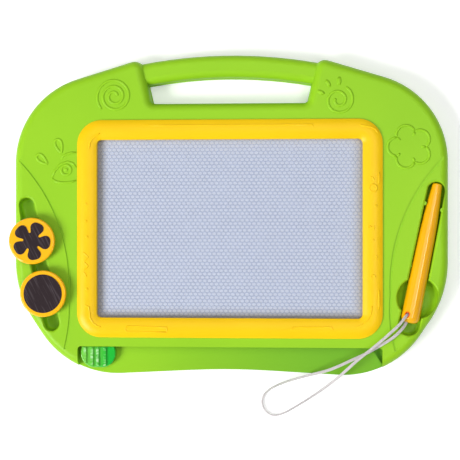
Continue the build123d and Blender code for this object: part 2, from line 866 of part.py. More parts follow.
def route_radii(route):
    """Bend radii for a route, each as large as its two runs allow."""
    points = [Vector(*point) for point in route]
    radii = []
    for before, here, after in zip(points, points[1:], points[2:]):
        turn = (here - before).get_angle(after - here)
        run = min((here - before).length, (after - here).length)
        radii.append(bend_share * run / math.tan(math.radians(turn) / 2))
        print(f"cord bend {radii[-1]:.1f}, turn {turn:.0f} degrees, shorter run {run:.1f}")
    return radii


with BuildPart() as pen_cord:
    with BuildLine() as cord_path:
        FilletPolyline(*cord_route, radius=route_radii(cord_route))
    with BuildSketch(Plane(origin=cord_path.line @ 0, z_dir=cord_path.line % 0)):
        Circle(cord_diameter / 2)
    sweep()
pen_cord.part.label = "pen_cord"
export_step(pen_cord.part, "parts/pen_cord.step")
cord_length = sum(edge.length for edge in cord_path.line.edges())
cord_section = math.pi * cord_diameter**2 / 4
print("cord length", cord_length, "volume", pen_cord.part.volume, "expected", cord_length * cord_section)

# Stampers: each a disc on a knob, parked with the knob in the groove and its magnet upwards
disc_low = face_height + stamper_gap
disc_high = disc_low + stamper_thickness
bulb_low = recess_floor + run_gap
bulb_high = bulb_low + stamper_bulb_length
groove_line = groove_bottom - groove_top


def stamper_body(centre, magnet):
    """A stamper without its magnet, turned about its own axis."""
    section = Plane(origin=(centre.X, centre.Y, 0), x_dir=(1, 0, 0), z_dir=(0, -1, 0))
    with BuildPart() as body:
        with BuildSketch(section):
            with BuildLine():
                FilletPolyline(
                    (0, bulb_low),
                    (stamper_bulb_radius, bulb_low),
                    (stamper_bulb_radius, bulb_high),
                    (stamper_neck_radius, bulb_high + stamper_flare),
                    (stamper_neck_radius, disc_low - stamper_flare),
                    (stamper_neck_radius + stamper_flare, disc_low),
                    (stamper_radius, disc_low),
                    (stamper_radius, disc_high),
                    (0, disc_high),
                    radius=[0, stamper_round, stamper_round, 0, 0, 0, stamper_round, stamper_round, 0],
                    close=True,
                )
            make_face()
        revolve(axis=Axis((centre.X, centre.Y, 0), (0, 0, 1)))
        with BuildSketch(Plane((centre.X, centre.Y, disc_high))):
            add(magnet)
            offset(amount=fit_gap)
        extrude(amount=-magnet_sink, mode=Mode.SUBTRACT)
    return body.part


# The flower is a disc cut into petals by notches that widen outwards
notch_start = Vector(flower_core_radius + notch_radius, 0)
notch_end = Vector(flower_radius + notch_mouth_radius, 0)
notch = channel_outline(notch_start, notch_radius, notch_end, notch_mouth_radius)
with BuildSketch() as flower_disc:
    Circle(flower_radius)
    with PolarLocations(0, petal_count):
        add(notch, mode=Mode.SUBTRACT)
    between = (flower_core_radius + flower_radius) / 2
    corners = [vertex for vertex in flower_disc.vertices() if Vector(*vertex).length > between]
    fillet(corners, radius=petal_corner_radius)
flower_shape = flower_disc.sketch.rotate(Axis.Z, flower_turn)
with BuildSketch() as disc_shape:
    Circle(round_magnet_radius)

for name, magnet_shape in (("flower_stamper", flower_shape), ("round_stamper", disc_shape.sketch)):
    centre = groove_top + groove_line * stamper_shares[name]
    body = stamper_body(centre, magnet_shape)
    body.label = f"{name}_body"
    export_step(body, f"parts/{name}_body.step")
    with BuildPart() as magnet:
        with BuildSketch(Plane((centre.X, centre.Y, disc_high - magnet_sink))):
            add(magnet_shape)
        extrude(amount=magnet_sheet)
    magnet.part.label = f"{name}_magnet"
    export_step(magnet.part, f"parts/{name}_magnet.step")
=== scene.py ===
"""Looks of the magnetic drawing board, in metres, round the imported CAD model."""
import math

import bmesh
import bpy
from mathutils import Matrix, Vector


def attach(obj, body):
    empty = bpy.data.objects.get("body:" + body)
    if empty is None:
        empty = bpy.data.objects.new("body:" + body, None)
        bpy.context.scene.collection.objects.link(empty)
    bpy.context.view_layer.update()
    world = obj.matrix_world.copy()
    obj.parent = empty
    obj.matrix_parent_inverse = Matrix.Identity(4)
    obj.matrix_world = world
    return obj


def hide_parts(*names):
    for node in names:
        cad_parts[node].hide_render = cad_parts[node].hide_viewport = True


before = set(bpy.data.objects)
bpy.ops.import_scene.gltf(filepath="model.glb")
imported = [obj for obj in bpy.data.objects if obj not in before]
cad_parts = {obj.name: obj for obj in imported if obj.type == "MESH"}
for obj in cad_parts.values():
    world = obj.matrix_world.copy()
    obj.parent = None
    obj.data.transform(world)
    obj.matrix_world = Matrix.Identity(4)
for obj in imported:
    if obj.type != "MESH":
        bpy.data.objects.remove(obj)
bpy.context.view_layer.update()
scene = bpy.context.scene
scene.view_settings.view_transform = "Standard"

# Camera: the board is photographed from straight above, with a long lens that stands a little
# to the right of the board and leans back to it, so its right side comes out slightly larger.
camera_data = bpy.data.cameras.new("camera")
camera_data.lens = 97.9
camera_data.sensor_width = 36.0
camera = bpy.data.objects.new("camera", camera_data)
scene.collection.objects.link(camera)
camera.location = (0.0835, -0.0157, 1.2)
camera.rotation_euler = (0.0013, 0.07, 0.0002)
scene.camera = camera

# Pen cord: a flat braid of five bundles of polyester yarn. Both ends go into the tail of the pen;
# the loop runs over the corner of the board and lies on the table.
cord_width = 0.0028
cord_route = [
    (0.1693, -0.0913, 0.0247),
    (0.1656, -0.0931, 0.0307),
    (0.1601, -0.1009, 0.0342),
    (0.1512, -0.1090, 0.0350),
    (0.1413, -0.1179, 0.0350),
    (0.1310, -0.1264, 0.0350),
    (0.1196, -0.1353, 0.0346),
    (0.1106, -0.1444, 0.0308),
    (0.1032, -0.1520, 0.0226),
    (0.0950, -0.1596, 0.0134),
    (0.0854, -0.1678, 0.0054),
    (0.0746, -0.1756, 0.0014),
    (0.0625, -0.1832, 0.0014),
    (0.0505, -0.1900, 0.0014),
    (0.0402, -0.1926, 0.0014),
    (0.0326, -0.1874, 0.0014),
    (0.0296, -0.1788, 0.0014),
    (0.0322, -0.1709, 0.0014),
    (0.0396, -0.1652, 0.0014),
    (0.0490, -0.1608, 0.0030),
    (0.0585, -0.1570, 0.0076),
    (0.0675, -0.1536, 0.0140),
    (0.0765, -0.1504, 0.0212),
    (0.0856, -0.1476, 0.0268),
    (0.0950, -0.1446, 0.0294),
    (0.1045, -0.1405, 0.0293),
    (0.1135, -0.1362, 0.0293),
    (0.1225, -0.1321, 0.0293),
    (0.1310, -0.1280, 0.0293),
    (0.1386, -0.1234, 0.0297),
    (0.1466, -0.1185, 0.0310),
    (0.1546, -0.1132, 0.0316),
    (0.1606, -0.1074, 0.0303),
    (0.1649, -0.1026, 0.0261),
    (0.1696, -0.0935, 0.0228),
]
route_curve = bpy.data.curves.new("cord_route", "CURVE")
route_curve.dimensions = "3D"
route_curve.resolution_u = 40
route_line = route_curve.splines.new("NURBS")
route_line.points.add(len(cord_route) - 1)
for point, place in zip(route_line.points, cord_route):
    point.co = (*place, 1)
route_line.order_u = 3
route_line.use_endpoint_u = True
route_object = bpy.data.objects.new("cord_route", route_curve)
route_mesh = bpy.data.meshes.new_from_object(route_object)
cord_line = [vertex.co.copy() for vertex in route_mesh.vertices]
bpy.data.objects.remove(route_object)
bpy.data.meshes.remove(route_mesh)

strand_count = 5
strand_radius = 0.00036
braid_half_width = cord_width / 2 - strand_radius
braid_half_height = 0.00028
braid_pitch = 0.0052
braid_lean = 1.05
lean_start_share = 0.12
lean_end_share = 0.88
up = Vector((0, 0, 1))
braid_curve = bpy.data.curves.new("pen_cord_braid", "CURVE")
braid_curve.dimensions = "3D"
braid_curve.bevel_depth = strand_radius
braid_curve.bevel_resolution = 1
braid_curve.use_fill_caps = True
strands = []
for number in range(strand_count):
    strand = braid_curve.splines.new("POLY")
    strand.points.add(len(cord_line) - 1)
    strands.append(strand)
run = 0.0
line_total = sum((b - a).length for a, b in zip(cord_line, cord_line[1:]))
for index, here in enumerate(cord_line):
    before = cord_line[max(index - 1, 0)]
    after = cord_line[min(index + 1, len(cord_line) - 1)]
    run += (here - before).length
    along = (after - before).normalized()
    flat = along.cross(up).normalized()
    rise = flat.cross(along)
    # The braid lies flat near the pen and leans over on the table
    share = (run / line_total - lean_start_share) / (lean_end_share - lean_start_share)
    lean = braid_lean * math.sin(math.pi * min(max(share, 0), 1)) ** 2
    flat, rise = (
        flat * math.cos(lean) + rise * math.sin(lean),
        rise * math.cos(lean) - flat * math.sin(lean),
    )
    for number, strand in enumerate(strands):
        turn = math.tau * (run / braid_pitch + number / strand_count)
        place = here + flat * braid_half_width * math.cos(turn)
        place += rise * braid_half_height * math.sin(turn * (strand_count - 1))
        strand.points[index].co = (*place, 1)
braid_object = bpy.data.objects.new("pen_cord_braid", braid_curve)
pen_cord = bpy.data.objects.new("pen_cord_flat", bpy.data.meshes.new_from_object(braid_object))
bpy.data.objects.remove(braid_object)
scene.collection.objects.link(pen_cord)
for face in pen_cord.data.polygons:
    face.use_smooth = True


def finish_nodes(name, roughness, specular=0.5):
    """A new material with its nodes, links, shader and object coordinates."""
    material = bpy.data.materials.new(name)
    material.use_nodes = True
    nodes, links = material.node_tree.nodes, material.node_tree.links
    shader = nodes["Principled BSDF"]
    shader.inputs["Roughness"].default_value = roughness
    shader.inputs["Specular IOR Level"].default_value = specular
    place = nodes.new("ShaderNodeTexCoord").outputs["Object"]
    return material, nodes, links, shader, place


def grain(nodes, links, place, scale, detail=2.0, stretch=(1, 1, 1), turn=0.0):
    """Noise over the surface, per metre, drawn out along axes that may be turned about Z."""
    mapping = nodes.new("ShaderNodeMapping")
    mapping.vector_type = "TEXTURE"
    mapping.inputs["Scale"].default_value = stretch
    mapping.inputs["Rotation"].default_value = (0, 0, turn)
    noise = nodes.new("ShaderNodeTexNoise")
    noise.inputs["Scale"].default_value = scale
    noise.inputs["Detail"].default_value = detail
    links.new(place, mapping.inputs["Vector"])
    links.new(mapping.outputs["Vector"], noise.inputs["Vector"])
    return noise.outputs["Fac"]


def shades(nodes, links, factor, first, second, low=0.3, high=0.7):
    """Two colours, the first below a low factor and the second above a high one."""
    ramp = nodes.new("ShaderNodeValToRGB")
    for stop, position, colour in zip(ramp.color_ramp.elements, (low, high), (first, second)):
        stop.position = position
        stop.color = (*colour, 1)
    links.new(factor, ramp.inputs["Fac"])
    return ramp.outputs["Color"]


def bump(nodes, links, shader, height, strength, distance):
    """Raises a height into the shader's normal."""
    relief = nodes.new("ShaderNodeBump")
    relief.inputs["Strength"].default_value = strength
    relief.inputs["Distance"].default_value = distance
    links.new(height, relief.inputs["Height"])
    links.new(relief.outputs["Normal"], shader.inputs["Normal"])


cord_yarn, nodes, links, shader, place = finish_nodes("cord_yarn", roughness=0.75, specular=0.3)
yarn = grain(nodes, links, place, scale=5200)
greys = shades(nodes, links, yarn, (0.48, 0.45, 0.46), (0.76, 0.71, 0.72))
links.new(greys, shader.inputs["Base Color"])
shader.inputs["Sheen Weight"].default_value = 0.25
bump(nodes, links, shader, yarn, strength=0.5, distance=0.0001)
pen_cord.data.materials.append(cord_yarn)
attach(pen_cord, "pen")
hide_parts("pen_cord")


def dress(material, *names):
    """Gives CAD nodes their material."""
    for name in names:
        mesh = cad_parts[name].data
        mesh.materials.clear()
        mesh.materials.append(material)


dress(cord_yarn, "pen_cord_knot")

# Case: front shell and back cover, injection moulded in one green polypropylene with a satin
# grain, and screwed together from behind. The ledge's floor has painted shade towards its right
# end.
# Painted shade: where the ledge floor darkens, from its left to its right end and below the riser
ledge_shade_run = (-0.130, 0.110)
ledge_shade_edge = (-0.1235, -0.1255)
ledge_shade_drop = (0.0175, 0.0155)
ledge_shade_colour = (0.56, 0.72, 1.2)


def spread(nodes, links, factor, low, high):
    """A factor from 0 to 1 spread over a range."""
    span = nodes.new("ShaderNodeMapRange")
    span.inputs["To Min"].default_value = low
    span.inputs["To Max"].default_value = high
    links.new(factor, span.inputs["Value"])
    return span.outputs["Result"]


def past(nodes, links, factor, start, end, smooth=False):
    """0 before the start and 1 past the end."""
    step = nodes.new("ShaderNodeMapRange")
    if smooth:
        step.interpolation_type = "SMOOTHSTEP"
    step.inputs["From Min"].default_value = start
    step.inputs["From Max"].default_value = end
    links.new(factor, step.inputs["Value"])
    return step.outputs["Result"]


def axes_of(nodes, links, place):
    """The X, Y and Z of a place."""
    apart = nodes.new("ShaderNodeSeparateXYZ")
    links.new(place, apart.inputs["Vector"])
    return apart.outputs


def combined(nodes, links, operation, first, second):
    """One factor from two, kept between 0 and 1."""
    both = nodes.new("ShaderNodeMath")
    both.operation = operation
    both.use_clamp = True
    links.new(first, both.inputs[0])
    links.new(second, both.inputs[1])
    return both.outputs["Value"]


def tinted(nodes, links, shader, colour, factor, tint, blend="MIX"):
    """Lays a tint over a colour by a factor, for the shader's colour."""
    mix = nodes.new("ShaderNodeMix")
    mix.data_type = "RGBA"
    mix.blend_type = blend
    # A mix of two colours has its factor at input 0, the colours at 6 and 7, and output 2
    mix.inputs[7].default_value = (*tint, 1)
    links.new(factor, mix.inputs[0])
    links.new(colour, mix.inputs[6])
    links.new(mix.outputs[2], shader.inputs["Base Color"])


case_green, nodes, links, shader, place = finish_nodes("case_green", roughness=0.42, specular=0.2)
cloud = grain(nodes, links, place, scale=9)
green = shades(nodes, links, cloud, (0.258, 0.535, 0.012), (0.282, 0.568, 0.014))
axes = axes_of(nodes, links, place)
# Painted shade: the ledge floor is multiplied darker towards its right end
ledge_shade_mask = past(nodes, links, axes["X"], *ledge_shade_run, smooth=True)
for axis, (unshaded_end, shaded_end) in (("Y", ledge_shade_edge), ("Z", ledge_shade_drop)):
    step = past(nodes, links, axes[axis], unshaded_end, shaded_end, smooth=True)
    ledge_shade_mask = combined(nodes, links, "MULTIPLY", ledge_shade_mask, step)
tinted(nodes, links, shader, green, ledge_shade_mask, ledge_shade_colour, blend="MULTIPLY")
satin = grain(nodes, links, place, scale=1400)
links.new(spread(nodes, links, satin, low=0.36, high=0.48), shader.inputs["Roughness"])
bump(nodes, links, shader, satin, strength=0.12, distance=0.0002)
dress(case_green, "front_shell", "back_cover")

# Doodles: low beads moulded in the face of the front shell, a spiral and a sun beside the handle,
# and an eye with two lashes and a flower beside the screen frame.
face_height = 0.026
bead_sides = 10
bead_tip_share = 0.55


def bead(mesh, line, width, height, closed=False):
    """A rounded bead along a line, half sunk in what carries it."""
    line = [Vector(point) for point in line]
    count = len(line)
    rings = []
    for index, here in enumerate(line):
        before = line[index - 1] if closed or index else here
        after = line[(index + 1) % count] if closed or index < count - 1 else here
        heading = math.atan2(after.y - before.y, after.x - before.x)
        end = not closed and index in (0, count - 1)
        # A ring one unit wide, which the matrix stretches to the bead's width and height
        ring = bmesh.ops.create_circle(mesh, segments=bead_sides, radius=0.5)["verts"]
        size = bead_tip_share if end else 1
        shape = (
            Matrix.Translation(here)
            @ Matrix.Rotation(heading + math.pi / 2, 4, "Z")
            @ Matrix.Diagonal((width * size, 1, 2 * height * size, 1))
            @ Matrix.Rotation(math.pi / 2, 4, "X")
        )
        bmesh.ops.transform(mesh, matrix=shape, verts=ring)
        rings.append(ring)
    loops = [
        [edge for edge in {e for vert in ring for e in vert.link_edges}] for ring in rings
    ]
    pairs = list(zip(loops, loops[1:])) + ([(loops[-1], loops[0])] if closed else [])
    for first, second in pairs:
        bmesh.ops.bridge_loops(mesh, edges=first + second)
    if not closed:
        for loop in (loops[0], loops[-1]):
            bmesh.ops.contextual_create(mesh, geom=loop)


def new_piece(name, mesh, material, body):
    """Makes an object of a bmesh, with its normals outwards, that rides on a body."""
    bmesh.ops.recalc_face_normals(mesh, faces=mesh.faces)
    data = bpy.data.meshes.new(name)
    mesh.to_mesh(data)
    mesh.free()
    for face in data.polygons:
        face.use_smooth = True
    data.materials.append(material)
    piece = bpy.data.objects.new(name, data)
    scene.collection.objects.link(piece)
    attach(piece, body)
    return piece


def from_point(centre, heading, reach, side=0.0):
    """A place on the face, a reach along a heading in degrees and a side step across it."""
    angle = math.radians(heading)
    return (
        centre[0] + reach * math.cos(angle) - side * math.sin(angle),
        centre[1] + reach * math.sin(angle) + side * math.cos(angle),
        face_height,
    )


def arc(centre, radius, start, end, steps, end_radius=None):
    """Places round a centre, between two angles in degrees, with a radius that may change."""
    grow = 0 if end_radius is None else end_radius - radius
    shares = [step / steps for step in range(steps + 1)]
    return [
        from_point(centre, start + (end - start) * share, radius + grow * share)
        for share in shares
    ]


doodle_width = 0.0027
doodle_height = 0.0008
doodles = bmesh.new()


def doodle(line, widen=1, closed=False):
    """One stroke of the doodles."""
    bead(doodles, line, doodle_width * widen, doodle_height, closed)


spiral_centre = (-0.1086, 0.1124)
spiral_outer = 0.0172
spiral_inner = 0.0028
doodle(arc(spiral_centre, spiral_outer, start=225, end=-711, steps=84, end_radius=spiral_inner))

eye_centre = (-0.1549, 0.0428)
upper_lid = [
    (-0.0136, -0.0079),
    (-0.0112, -0.0012),
    (-0.0058, 0.0052),
    (0.0012, 0.0077),
    (0.0066, 0.0062),
    (0.0098, 0.0024),
]
lower_lid = [
    (-0.0136, -0.0079),
    (-0.0096, -0.0112),
    (-0.0028, -0.0123),
    (0.0050, -0.0116),
    (0.0098, -0.0098),
]
brow = [
    (-0.0046, 0.0100),
    (-0.0030, 0.0132),
    (0.0002, 0.0150),
    (0.0050, 0.0162),
    (0.0098, 0.0167),
]
for stroke in (upper_lid, lower_lid, brow):
    doodle([(eye_centre[0] + x, eye_centre[1] + y, face_height) for x, y in stroke])
iris_radius = 0.0047
pupil_radius = 0.0008
doodle(arc(eye_centre, iris_radius, start=0, end=345, steps=18), closed=True)
doodle(arc(eye_centre, pupil_radius, start=0, end=300, steps=5), closed=True)

lash_steps = 20
lash_taper = 0.45
for centre, length, width, heading in (
    ((-0.1617, 0.0657), 0.0130, 0.0060, -72),
    ((-0.178, 0.0529), 0.0125, 0.0056, -42),
):
    drop = []
    for step in range(lash_steps):
        turn = math.tau * step / lash_steps
        side = width / 2 * math.sin(turn) * (1 - lash_taper * math.cos(turn))
        drop.append(from_point(centre, heading, length / 2 * math.cos(turn), side))
    doodle(drop, closed=True)

sun_centre = (0.1029, 0.1074)
sun_inner = 0.0028
sun_outer = 0.0142
ray_widen = 1.5
ray_shares = (-0.5, -0.2, 0.2, 0.5)
doodle(arc(sun_centre, sun_inner, start=150, end=780, steps=54, end_radius=sun_outer))
for heading, middle, length in (
    (122, 0.0185, 0.0075),
    (88, 0.0178, 0.0078),
    (156, 0.0180, 0.0070),
):
    ray = [from_point(sun_centre, heading, middle + length * share) for share in ray_shares]
    doodle(ray, widen=ray_widen)

flower_centre = (0.1690, 0.0634)
petal_count = 5
petal_step = 360 / petal_count
petal_reach = 0.0118
petal_radius = 0.0087
petal_half_arc = 86
notch_reaches = (0.0147, 0.0127, 0.0107)
for petal in range(petal_count):
    heading = petal_step * (petal + 0.5)
    centre = from_point(flower_centre, heading, petal_reach)
    doodle(arc(centre, petal_radius, heading - petal_half_arc, heading + petal_half_arc, steps=16))
    between = heading + petal_step / 2
    doodle([from_point(flower_centre, between, reach) for reach in notch_reaches])
new_piece("case_doodles", doodles, case_green, "board")

# Screws and pen tip: zinc-plated pan heads in the wells of the back cover, shorter ones on the
# rails, and a plated magnet in the nose of the pen.
screw_zinc, nodes, links, shader, place = finish_nodes("screw_zinc", roughness=0.35)
shader.inputs["Metallic"].default_value = 1.0
turned = grain(nodes, links, place, scale=3000)
zinc = shades(nodes, links, turned, (0.5, 0.5, 0.48), (0.66, 0.66, 0.66))
links.new(zinc, shader.inputs["Base Color"])
bump(nodes, links, shader, turned, strength=0.2, distance=0.0001)
dress(screw_zinc, "back_screws", "rail_screws", "pen_tip_magnet")

# Screen frame: one yellow moulding with a crowned face and a sleeve behind it, clipped into the
# window. Small marks stand up from its face: dots, waves, lines and bars.
frame_yellow, nodes, links, shader, place = finish_nodes(
    "frame_yellow", roughness=0.36, specular=0.2
)
cloud = grain(nodes, links, place, scale=14)
yellow = shades(nodes, links, cloud, (0.84, 0.52, 0.002), (0.88, 0.55, 0.003))
links.new(yellow, shader.inputs["Base Color"])
satin = grain(nodes, links, place, scale=1600)
links.new(spread(nodes, links, satin, low=0.3, high=0.42), shader.inputs["Roughness"])
bump(nodes, links, shader, satin, strength=0.08, distance=0.0002)
dress(frame_yellow, "screen_bezel")

bar_middle = (0.1347, 0.0935)
bar_corner = 0.0138
bar_centre_y = -0.013
crown_top = 0.03
crown_radius = 0.01684


def on_crown(x, y):
    """A place on the crowned face of the screen frame."""
    past_x = abs(x) - (bar_middle[0] - bar_corner)
    past_y = abs(y - bar_centre_y) - (bar_middle[1] - bar_corner)
    outside = math.hypot(max(past_x, 0), max(past_y, 0)) + min(max(past_x, past_y), 0)
    off = min(abs(outside - bar_corner), crown_radius)
    return (x, y, crown_top - crown_radius + math.sqrt(crown_radius**2 - off**2))


mark_width = 0.0016
mark_height = 0.00048
mark_parts = 4
mark_lines = [
    # Top bar: a long line
    [(-0.0808, 0.0841), (0.0014, 0.0842), (0.0782, 0.0843), (0.0791, 0.0820)],
    # Upper corners: an arc in each
    [(0.1228, 0.0836), (0.1330, 0.0817), (0.1372, 0.0795), (0.1395, 0.0761)],
    [(-0.1322, 0.0624), (-0.1313, 0.0690), (-0.1274, 0.0737), (-0.1217, 0.0775)],
    # Bottom bar: two flat blocks
    [(-0.0978, -0.1076), (-0.0959, -0.1047), (-0.0580, -0.1059), (-0.0580, -0.1102)],
    [(-0.0978, -0.1076), (-0.0959, -0.1100), (-0.0580, -0.1102)],
    [(0.0586, -0.1076), (0.0605, -0.1048), (0.0959, -0.1046), (0.0978, -0.1074)],
    # Lower corners: a longer arc in each
    [
        (-0.1360, -0.0851),
        (-0.1322, -0.0870),
        (-0.1312, -0.0974),
        (-0.1283, -0.1021),
        (-0.1245, -0.1049),
        (-0.1207, -0.1058),
    ],
    [(0.1339, -0.0849), (0.1330, -0.0914), (0.1302, -0.0979), (0.1228, -0.1035), (0.1200, -0.1045)],
    # Left bar: a wave
    [
        (-0.1379, -0.0350),
        (-0.1331, -0.0397),
        (-0.1370, -0.0444),
        (-0.1331, -0.0482),
        (-0.1379, -0.0530),
        (-0.1341, -0.0586),
    ],
    # Right bar: a hook, a line, a wave, a tick, a bow and a line
    [(0.1321, 0.0352), (0.1348, 0.0347), (0.1358, 0.0324)],
    [(0.1404, 0.0398), (0.1404, 0.0286)],
    [(0.1302, -0.0123), (0.1321, -0.0104), (0.1339, -0.0123), (0.1358, -0.0104), (0.1358, -0.0141)],
    [(0.1368, -0.0375), (0.1386, -0.0393), (0.1372, -0.0412)],
    [(0.1330, -0.0590), (0.1335, -0.0565), (0.1349, -0.0560), (0.1363, -0.0565), (0.1368, -0.0590)],
    [(0.1404, -0.0700), (0.1404, -0.0886)],
]
marks = bmesh.new()
for line in mark_lines:
    fine = []
    for (x0, y0), (x1, y1) in zip(line, line[1:]):
        for part in range(mark_parts):
            share = part / mark_parts
            fine.append(on_crown(x0 + (x1 - x0) * share, y0 + (y1 - y0) * share))
    fine.append(on_crown(*line[-1]))
    bead(marks, fine, mark_width, mark_height)

dot_steps = 12
dot_radius = 0.0006
ring_radius = 0.0036
for x, y, radius in (
    (-0.1351, 0.0104, dot_radius),
    (-0.1351, -0.0057, dot_radius),
    (-0.1341, -0.0208, dot_radius),
    (-0.1341, -0.0700, dot_radius),
    (0.1376, 0.0082, dot_radius),
    (0.1349, -0.0235, dot_radius),
    (0.1348, 0.0249, ring_radius),
):
    ring = []
    for step in range(dot_steps):
        turn = math.tau * step / dot_steps
        ring.append(on_crown(x + radius * math.cos(turn), y + radius * math.sin(turn)))
    bead(marks, ring, mark_width, mark_height, closed=True)
new_piece("screen_frame_marks", marks, frame_yellow, "board")

# Screen: a clear front film over a sheet of small six-sided cells full of white liquid and iron
# powder, on a plain back film. Its edge is glued shut.
cell_pitch = 0.00444
row_pitch = 0.00318
cells_low = 0.0189
cells_high = 0.02065
cells_half = (0.1289, 0.0877)
cell_wall = 0.00055
cell_sink = 0.0003
cell_columns = 60
cell_rows = 58
cell_corners = 6
weld_distance = cell_pitch / 200
cut_distance = 1e-7


def verts_of(geometry):
    """The vertices among what an operator returned."""
    return [item for item in geometry if isinstance(item, bmesh.types.BMVert)]


cells = bmesh.new()
outline = bmesh.ops.create_circle(
    cells, cap_ends=True, segments=cell_corners, radius=cell_pitch / math.sqrt(3)
)
tall = row_pitch / (cell_pitch * math.sqrt(3) / 2)
bmesh.ops.scale(cells, vec=(1, tall, 1), verts=outline["verts"])
bmesh.ops.inset_individual(cells, faces=cells.faces[:], thickness=cell_wall / 2, depth=0)
middle = max(cells.faces, key=lambda face: face.calc_area())
bmesh.ops.inset_individual(cells, faces=[middle], thickness=cell_wall / 2, depth=-cell_sink)
middle.material_index = 1
single = cells.verts[:] + cells.edges[:] + cells.faces[:]
for column in range(1, cell_columns):
    copy = bmesh.ops.duplicate(cells, geom=single)["geom"]
    bmesh.ops.translate(cells, vec=(column * cell_pitch, 0, 0), verts=verts_of(copy))
whole_row = cells.verts[:] + cells.edges[:] + cells.faces[:]
for row in range(1, cell_rows):
    copy = bmesh.ops.duplicate(cells, geom=whole_row)["geom"]
    shift = (row % 2 * cell_pitch / 2, row * row_pitch, 0)
    bmesh.ops.translate(cells, vec=shift, verts=verts_of(copy))
bmesh.ops.remove_doubles(cells, verts=cells.verts, dist=weld_distance)
# Every other row is shifted by half a cell, so the rows are centred half a cell short
to_window = (
    -cell_pitch * (cell_columns - 0.5) / 2,
    bar_centre_y - row_pitch * (cell_rows - 1) / 2,
    cells_high,
)
bmesh.ops.translate(cells, vec=to_window, verts=cells.verts)
for side, normal in (
    ((cells_half[0], 0, 0), (1, 0, 0)),
    ((-cells_half[0], 0, 0), (-1, 0, 0)),
    ((0, bar_centre_y + cells_half[1], 0), (0, 1, 0)),
    ((0, bar_centre_y - cells_half[1], 0), (0, -1, 0)),
):
    bmesh.ops.bisect_plane(
        cells,
        geom=cells.verts[:] + cells.edges[:] + cells.faces[:],
        dist=cut_distance,
        plane_co=side,
        plane_no=normal,
        clear_outer=True,
    )
rim = [edge for edge in cells.edges if edge.is_boundary]
skirt = bmesh.ops.extrude_edge_only(cells, edges=rim)["geom"]
for vert in verts_of(skirt):
    vert.co.z = cells_low
bmesh.ops.contextual_create(cells, geom=[e for e in skirt if isinstance(e, bmesh.types.BMEdge)])
large_faces = [face for face in cells.faces if len(face.verts) > cell_corners]
bmesh.ops.triangulate(cells, faces=large_faces)

# Painted shade with a warm painted reflection: the cells darken towards the window's sides and foot
frame_shade_tint = (0.62, 0.56, 0.47)
frame_shade_edges = (("X", -0.1134, -0.1274), ("X", 0.1134, 0.1274), ("Y", -0.0852, -0.0992))


def frame_shaded(nodes, links, place, colour, shader):
    """Darkens a colour at the window's sides and foot: painted shade of the frame, warmed by a
    painted reflection of its yellow.
    """
    axes = axes_of(nodes, links, place)
    nears = [
        past(nodes, links, axes[axis], clear, dark, smooth=True)
        for axis, clear, dark in frame_shade_edges
    ]
    nearest = nears[0]
    for near in nears[1:]:
        nearest = combined(nodes, links, "MAXIMUM", nearest, near)
    tinted(nodes, links, shader, colour, nearest, frame_shade_tint, blend="MULTIPLY")


cell_walls, nodes, links, shader, place = finish_nodes("cell_walls", roughness=0.5, specular=0.2)
haze = grain(nodes, links, place, scale=60)
tone = shades(nodes, links, haze, (0.30, 0.345, 0.485), (0.34, 0.385, 0.525))
frame_shaded(nodes, links, place, tone, shader)
cell_fill, nodes, links, shader, place = finish_nodes("cell_fill", roughness=0.45, specular=0.2)
powder = grain(nodes, links, place, scale=900, detail=3)
tone = shades(nodes, links, powder, (0.43, 0.475, 0.595), (0.48, 0.525, 0.635))
frame_shaded(nodes, links, place, tone, shader)
screen_cells = new_piece("screen_cells", cells, cell_walls, "board")
screen_cells.data.materials.append(cell_fill)
for face in screen_cells.data.polygons:
    face.use_smooth = False
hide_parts("screen_core")

clear_film, nodes, links, shader, place = finish_nodes("clear_film", roughness=0.22, specular=0.3)
shader.inputs["Base Color"].default_value = (0.80, 0.84, 0.92, 1)
shader.inputs["Alpha"].default_value = 0.1
smear = grain(nodes, links, place, scale=40, detail=3)
links.new(spread(nodes, links, smear, low=0.16, high=0.3), shader.inputs["Roughness"])
dress(clear_film, "screen_front_film")

film_back, nodes, links, shader, place = finish_nodes("film_back", roughness=0.5, specular=0.4)
haze = grain(nodes, links, place, scale=200)
tone = shades(nodes, links, haze, (0.6, 0.62, 0.66), (0.66, 0.68, 0.71))
links.new(tone, shader.inputs["Base Color"])
dress(film_back, "screen_back_film", "screen_edge_seal")

# Rails and eraser carriage: plain grey-white mouldings that never show. The rails clamp the screen
# and the carriage slides behind it.
inner_plastic, nodes, links, shader, place = finish_nodes(
    "inner_plastic", roughness=0.5, specular=0.4
)
fleck = grain(nodes, links, place, scale=800)
tone = shades(nodes, links, fleck, (0.64, 0.64, 0.62), (0.74, 0.74, 0.72))
links.new(tone, shader.inputs["Base Color"])
bump(nodes, links, shader, fleck, strength=0.1, distance=0.0002)
dress(inner_plastic, "screen_rail_top", "screen_rail_bottom", "eraser_carriage")

# Eraser knob: a glossy see-through emerald moulding with finger ribs, pressed on the tongue of
# the carriage that comes out through the slot of the ledge. Its rib tops carry pale painted
# highlights.
# Painted light: the knob is lighter on its left, where light comes through, and darker to the right
knob_light_span = (-0.141, -0.110)
rib_top_heights = (0.0240, 0.0245)
rib_highlight_green = (0.50, 0.88, 0.42)
knob_emerald, nodes, links, shader, place = finish_nodes(
    "knob_emerald", roughness=0.2, specular=0.2
)
axes = axes_of(nodes, links, place)
painted_light_across = past(nodes, links, axes["X"], *knob_light_span)
emerald = shades(
    nodes, links, painted_light_across, (0.20, 0.68, 0.07), (0.01, 0.54, 0.04), low=0.15, high=0.85
)
